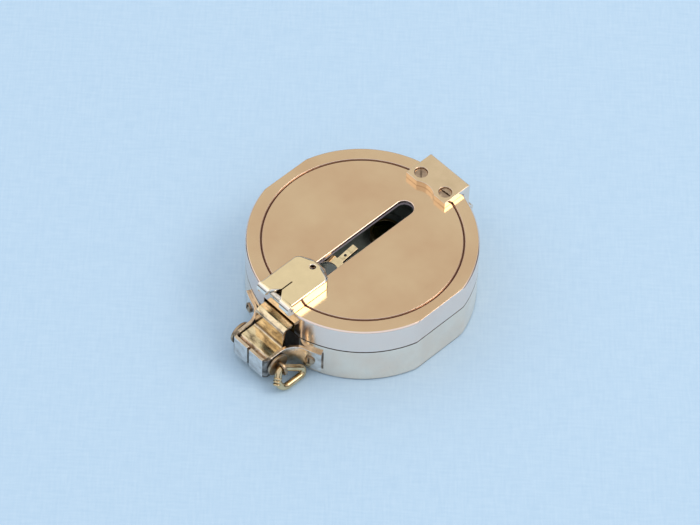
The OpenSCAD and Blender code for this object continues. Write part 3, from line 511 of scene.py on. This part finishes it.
def finishPiece(name, shape, body, slot, replaced=(), finish=None, smoothAngle=sharpAngle):
    mesh = bpy.data.meshes.new(name)
    shape.to_mesh(mesh)
    shape.free()
    mesh.shade_smooth()
    mesh.set_sharp_from_angle(angle=math.radians(smoothAngle))
    piece = bpy.data.objects.new(name, mesh)
    scene.collection.objects.link(piece)
    mesh.materials.append(finish or finishes[slot])
    even = piece.modifiers.new("evenShading", "WEIGHTED_NORMAL")
    even.keep_sharp = True
    even.weight = 100
    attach(piece, body)
    if replaced:
        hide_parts(*replaced)


edgeWidths = {  # mm
    "case_body": 0.15,
    "strap_left": 0.16,
    "strap_right": 0.16,
    "strap_screws": 0.08,
    "sight_pin": 0.2,
    "ring_nut": 0.2,
    "hinge_leaf": 0.15,
    "leaf_screws": 0.08,
    "hinge_pin": 0.15,
    "crystal_ring": 0.15,
    "mirror_ring": 0.15,
    "hinge_plate": 0.16,
    "hinge_screws": 0.1,
    "hood_block": 0.12,
    "hood_pin": 0.12,
    "sight_arm": 0.14,
    "needle_cap": 0.15,
    "round_level": 0.15,
    "vernier_arm": 0.1,
    "vial_holder": 0.1,
    "back_lever": 0.25,
    "lever_screw": 0.08,
    "lifter": 0.08,
    "lifter_bracket": 0.06,
}


def roundedName(node):
    words = node.split("_")
    return words[0] + "".join(word.capitalize() for word in words[1:]) + "Rounded"


def makeRounded():
    for name, width in edgeWidths.items():
        shape = mergedCopy(name)
        roundEdges(shape, width)
        finishPiece(roundedName(name), shape, bodyOf[name], slotOf[name], [name], ownFinish.get(name))


makeRounded()
print("rounded pieces made:", len(edgeWidths))


# Lid, with a broad rounding round its slot

lid = {
    "slotEdge": 0.4,  # mm
    "otherEdges": 0.16,
    "slotReach": 26,  # mm from the centre, inside which the top's edges belong to the slot
    "slotHalf": 3.3,
    "top": 25.3,
    "topBand": 0.05,  # mm below the top in which an edge still belongs to it
    "roundingBand": 0.6,  # mm below the top that the slot's rounding takes up
}


def makeLid():
    def inSlot(at):
        return abs(at.x) < lid["slotHalf"] and abs(at.y) < lid["slotReach"]

    shape = mergedCopy("lid_shell")
    roundEdges(shape, lid["slotEdge"], 4, lambda at: at.z > lid["top"] - lid["topBand"] and inSlot(at))
    roundEdges(shape, lid["otherEdges"],
               pick=lambda at: not inSlot(at) or at.z < lid["top"] - lid["roundingBand"])
    finishPiece("lidShellRounded", shape, "lid", "lid_brass", ["lid_shell"])


makeLid()
print("lid made")


# Hood, with a broad rounding round its crown

hood = {
    "crownEdge": 0.6,  # mm
    "otherEdges": 0.12,
    "crownFrom": 29.9,  # height above which an edge belongs to the crown
    "slitHalf": 1.5,  # the slit and the notch lie this near the middle, in front of slitBack, and stay crisp
    "slitBack": -20.5,
    "roundingBand": 0.7,  # mm below crownFrom that the crown's rounding takes up
}


def makeHood():
    def bySlit(at):
        return abs(at.x) <= hood["slitHalf"] and at.y <= hood["slitBack"]

    shape = mergedCopy("hood")
    roundEdges(shape, hood["crownEdge"], 5, lambda at: at.z > hood["crownFrom"] and not bySlit(at))
    roundEdges(shape, hood["otherEdges"], pick=lambda at: at.z < hood["crownFrom"] - hood["roundingBand"])
    finishPiece("hoodRounded", shape, "hood_sight", "pale_brass", ["hood"], hoodFinish)


makeHood()
print("hood made")


# Beaded collar on the ring's front leg

collar = {
    "eye": (10.65, -45.6, 7.4),  # mm, where the ring hangs
    "lean": 26,  # degrees
    "legStart": (-0.8, -0.6),  # the leg's ends in the ring's plane: down from the eye, and toward the hinge
    "legEnd": (6.898, -5.3),
    "wire": 1.2,  # radius
    "bead": 0.38,
    "proud": 0.2,
    "places": (0.42, 0.53, 0.64),  # shares of the leg's length
}


def makeCollar():
    shape = bmesh.new()
    start, end = Vector(collar["legStart"]), Vector(collar["legEnd"])
    leg = end - start
    plane = Matrix.Translation(collar["eye"]) @ Matrix.Rotation(math.radians(90 - collar["lean"]), 4, "Y")
    along = Vector((leg.x, leg.y, 0)).to_track_quat("Z", "Y").to_matrix().to_4x4()
    for place in collar["places"]:
        bead = bmesh.ops.create_circle(shape, segments=12, radius=collar["bead"])["verts"]
        bmesh.ops.rotate(shape, cent=(0, 0, 0), matrix=Matrix.Rotation(math.radians(90), 3, "X"), verts=bead)
        bmesh.ops.translate(shape, vec=(collar["wire"] + collar["proud"] - collar["bead"], 0, 0), verts=bead)
        edges = list({edge for vert in bead for edge in vert.link_edges})
        bmesh.ops.spin(shape, geom=bead + edges, cent=(0, 0, 0), axis=(0, 0, 1), angle=math.radians(360),
                       steps=40, use_merge=True)
        newVerts = [vert for vert in shape.verts if not vert.tag]
        centre = start + leg * place
        stand = Matrix.Translation((centre.x, centre.y, 0)) @ along
        bmesh.ops.transform(shape, matrix=plane @ stand, verts=newVerts)
        for vert in shape.verts:
            vert.tag = True
    bmesh.ops.recalc_face_normals(shape, faces=shape.faces)
    bmesh.ops.scale(shape, vec=(mm, mm, mm), verts=shape.verts)
    finishPiece("ringCollar", shape, "ring", "ring_brass", smoothAngle=60)


makeCollar()
print("ring collar made")


# Engraved scales, filled with black wax: fine lines and plain numbers that stand a hair above the metal

ink = {
    "height": 0.02,  # mm
    "weight": 0.015,  # share of a number's size by which engraved strokes are heavier than the font's
    "grain": 0.5,  # mm
}
degreeScale = {
    "level": 10.4,  # mm, the top of the raised ring
    "outer": 33.3,
    "short": 1.0,  # lengths of the single, fifth and tenth degree lines
    "middle": 1.5,
    "long": 2.0,
    "line": 0.19,
    "numberRadius": 29.9,
    "numberSize": 2.0,
}
dialScale = {
    "level": 4.4,
    "outer": 26.9,
    "short": 0.9,
    "middle": 1.4,
    "long": 1.9,
    "line": 0.22,
    "numberRadius": 23.0,
    "numberSize": 2.3,
}
vernierScale = {
    "level": 5.3,
    "outer": 26.6,
    "drawnIn": 0.03,  # mm that each line away from the middle stands further in
    "long": 2.4,
    "short": 1.44,
    "line": 0.18,
    "step": 1.25,  # degrees between lines
    "count": 5,
}


def inkMaterial():
    # black engraver's wax, rubbed in and scraped level: matt, faintly uneven
    material, tree = newMaterial("engraversBlackWax")
    grain = addNoise(tree, objectPlace(tree), ink["grain"], detail=2.0)
    addSurface(tree, {"Roughness": 0.6}, {"Base Color": addTones(tree, grain, ("#0E0C0A", "#1C1915"))})
    return material


inkFinish = inkMaterial()


def addLine(shape, angle, outer, length, width, level):
    # a line that points at the centre, its outer end at the radius given; angle runs clockwise from +Y
    line = bmesh.ops.create_cube(shape, size=1)["verts"]
    bmesh.ops.scale(shape, vec=(width, length, ink["height"]), verts=line)
    bmesh.ops.translate(shape, vec=(0, outer - length / 2, level + ink["height"] / 2), verts=line)
    bmesh.ops.rotate(shape, cent=(0, 0, 0), matrix=Matrix.Rotation(-angle, 3, "Z"), verts=line)


def addNumber(shape, words, size, angle, radius, level):
    # a number made from the built-in font, a mesh before it is put in its place
    curve = bpy.data.curves.new("number", "FONT")
    curve.body = words
    curve.size = size
    curve.extrude = ink["height"] / 2
    curve.offset = size * ink["weight"]
    curve.resolution_u = 3
    curve.align_x = "CENTER"
    curve.align_y = "CENTER"
    holder = bpy.data.objects.new("number", curve)
    mesh = bpy.data.meshes.new_from_object(holder)
    mesh.transform(Matrix.Rotation(-angle, 4, "Z")
                   @ Matrix.Translation((0, radius, level + ink["height"] / 2)))
    shape.from_mesh(mesh)
    bpy.data.objects.remove(holder)
    bpy.data.curves.remove(curve)
    bpy.data.meshes.remove(mesh)


def makeScale(name, scale, body, degrees, start, numberOf):
    shape = bmesh.new()
    for degree in degrees:
        angle = math.radians(start + degree)
        length = scale["long"] if degree % 10 == 0 else scale["middle"] if degree % 5 == 0 else scale["short"]
        addLine(shape, angle, scale["outer"], length, scale["line"], scale["level"])
        if degree % 10 == 0:
            addNumber(shape, numberOf(degree), scale["numberSize"], angle, scale["numberRadius"],
                      scale["level"])
    bmesh.ops.scale(shape, vec=(mm, mm, mm), verts=shape.verts)
    finishPiece(name, shape, body, "silvered", finish=inkFinish)


def makeVernier():
    shape = bmesh.new()
    for step in range(-vernierScale["count"], vernierScale["count"] + 1):
        addLine(shape, math.pi + math.radians(step * vernierScale["step"]),
                vernierScale["outer"] - abs(step) * vernierScale["drawnIn"],
                vernierScale["short"] if step else vernierScale["long"], vernierScale["line"],
                vernierScale["level"])
    bmesh.ops.scale(shape, vec=(mm, mm, mm), verts=shape.verts)
    finishPiece("vernierLines", shape, "clinometer", "silvered", finish=inkFinish)


makeScale("degreeLines", degreeScale, "case", range(0, 360), 0, lambda degree: str(degree))
makeScale("clinometerLines", dialScale, "case", range(-90, 91, 2), 180, lambda degree: str(abs(degree)))
makeVernier()
print("scales made")


# Bubbles in the two levels

levels = {
    "roundPlace": (-6.156, 16.914, 7.1),  # mm, a little off the middle
    "roundSize": (1.5, 1.5, 0.55),
    "tubePlace": (0.4, -12.0, 8.6),
    "tubeSize": (2.2, 0.9, 0.5),
}


def makeBubble(name, place, size, body):
    shape = bmesh.new()
    bmesh.ops.create_uvsphere(shape, u_segments=32, v_segments=16, radius=1)
    bmesh.ops.scale(shape, vec=size, verts=shape.verts)
    bmesh.ops.translate(shape, vec=place, verts=shape.verts)
    bmesh.ops.scale(shape, vec=(mm, mm, mm), verts=shape.verts)
    finishPiece(name, shape, body, "clear_glass", smoothAngle=60)


makeBubble("roundLevelBubble", levels["roundPlace"], levels["roundSize"], "case")
makeBubble("tubeLevelBubble", levels["tubePlace"], levels["tubeSize"], "clinometer")
print("bubbles made")
